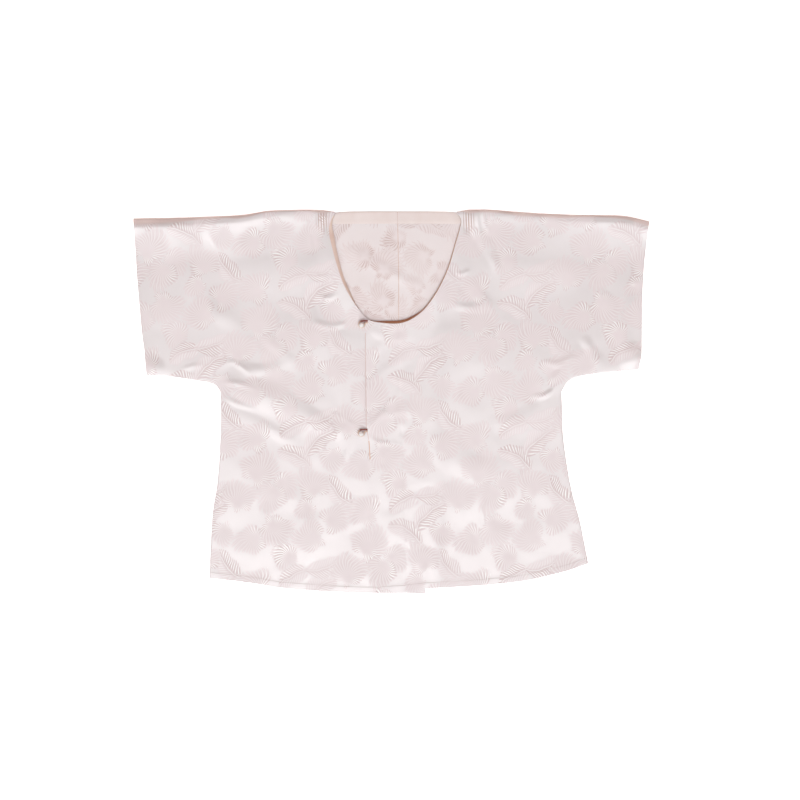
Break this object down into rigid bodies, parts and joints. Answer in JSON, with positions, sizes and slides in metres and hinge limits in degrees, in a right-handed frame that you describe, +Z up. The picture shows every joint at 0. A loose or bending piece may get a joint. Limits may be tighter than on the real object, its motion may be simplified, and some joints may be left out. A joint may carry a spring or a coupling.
{
  "type": "short-sleeved hanfu top",
  "caption": "Short-sleeved silk hanfu top with a round neck, laid flat with its front up, closed left over right with looped ball buttons.",
  "frame": {"origin": "middle of the garment's outline, on the surface that its back rests on", "axes": "+X to the viewer's right along the sleeves, +Y towards the neck, +Z up out of the front"},
  "size_m": [0.75, 0.5592, 0.0152],
  "materials": {
    "silk": "white silk satin with a tone-on-tone jacquard of feathery fans",
    "facing": "cream silk, matt",
    "rouleau": "beige silk rouleau cord",
    "pearl": "glossy pearl ball"
  },
  "bodies": {
    "root": {"right_half": "silk", "left_half": "silk", "overlap_strip": "silk", "underlap_strip": "silk", "right_neck_facing": "facing", "left_neck_facing": "facing", "right_back_facing": "facing", "left_back_facing": "facing", "upper_loop": "rouleau", "lower_loop": "rouleau", "upper_ball": "pearl", "lower_ball": "pearl"}
  },
  "joints": []
}
